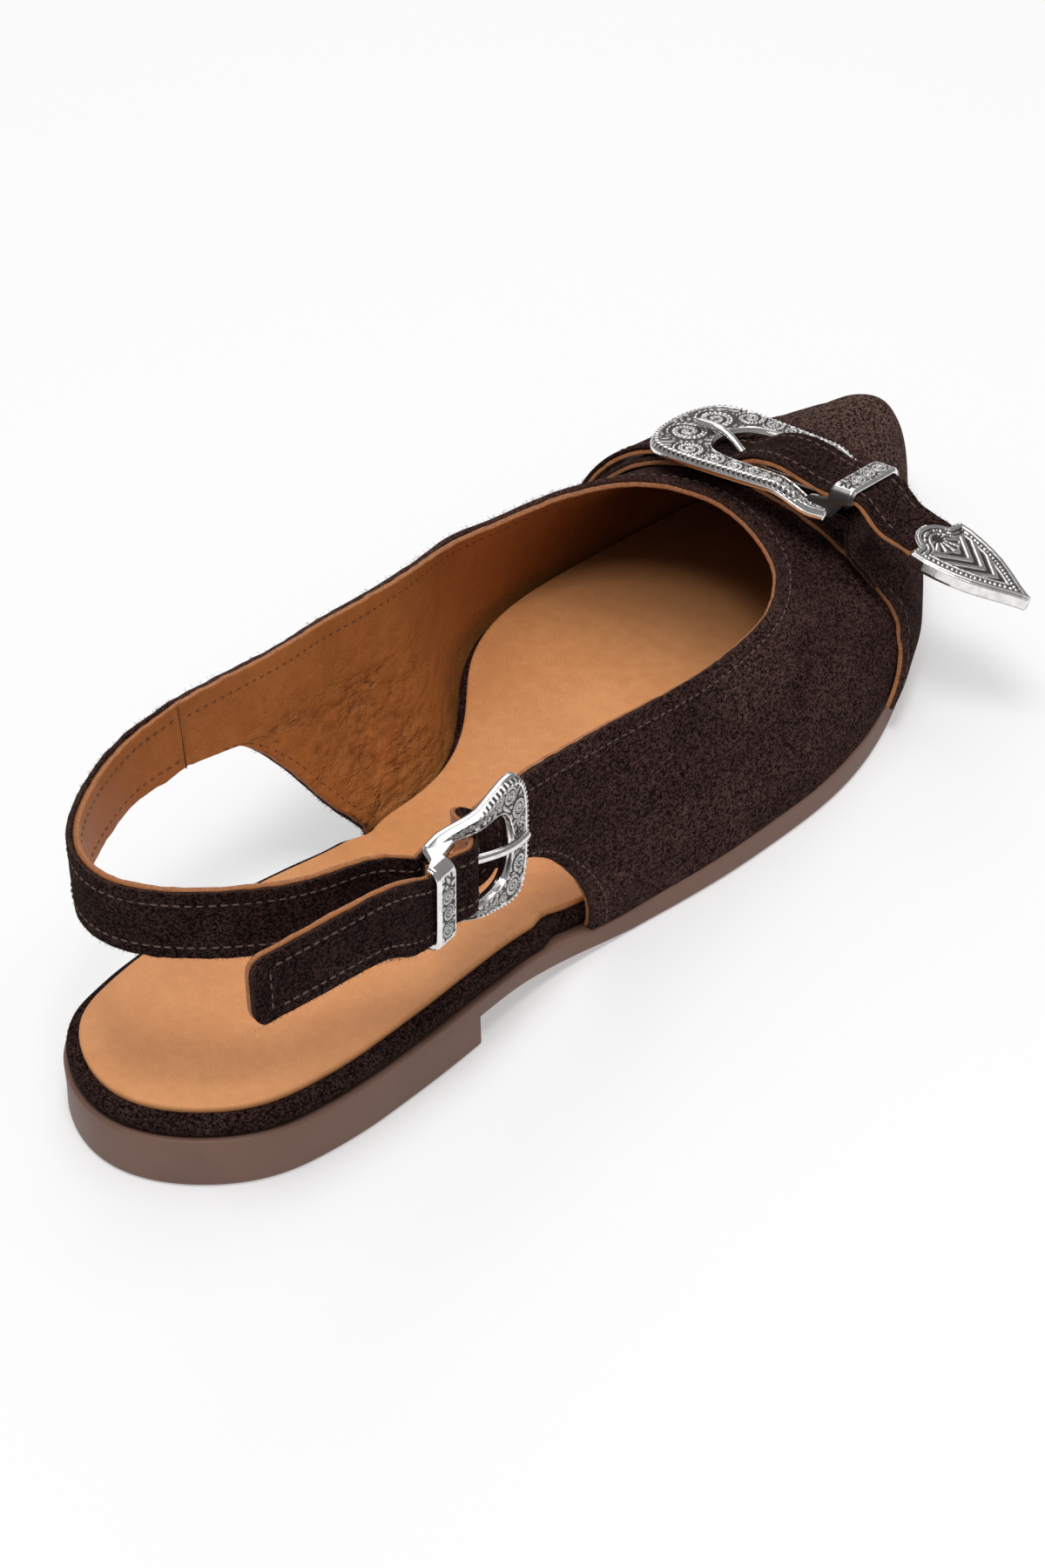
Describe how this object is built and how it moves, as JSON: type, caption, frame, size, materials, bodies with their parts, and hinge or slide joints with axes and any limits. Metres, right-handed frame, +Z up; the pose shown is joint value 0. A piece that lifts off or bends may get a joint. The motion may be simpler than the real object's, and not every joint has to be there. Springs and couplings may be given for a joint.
{
  "type": "pointed slingback shoe",
  "caption": "Flat pointed slingback shoe for the right foot: hollow open-heeled upper on a moulded sole, with a buckled heel strap and a buckled strap with a metal tip across the vamp.",
  "frame": {"origin": "on the floor under the middle of the heel", "axes": "+Y towards the toe, +X towards the outer side of the foot, +Z up"},
  "size_m": [0.1087, 0.2619, 0.0663],
  "materials": {
    "sole_rubber": "matte moulded",
    "suede": "napped suede, tan leather lining",
    "tan_leather": "satin",
    "metal": "polished and darkened antique silver"
  },
  "bodies": {
    "root": {"outsole": "sole_rubber", "footbed_board": "suede", "insole": "tan_leather", "upper": "suede", "vamp_band": "suede", "sling_strap": "suede", "side_strap": "suede", "side_buckle": "metal", "side_prong": "metal", "vamp_chape": "suede", "vamp_strap": "suede", "vamp_buckle": "metal", "vamp_prong": "metal", "strap_tip": "metal"}
  },
  "joints": []
}
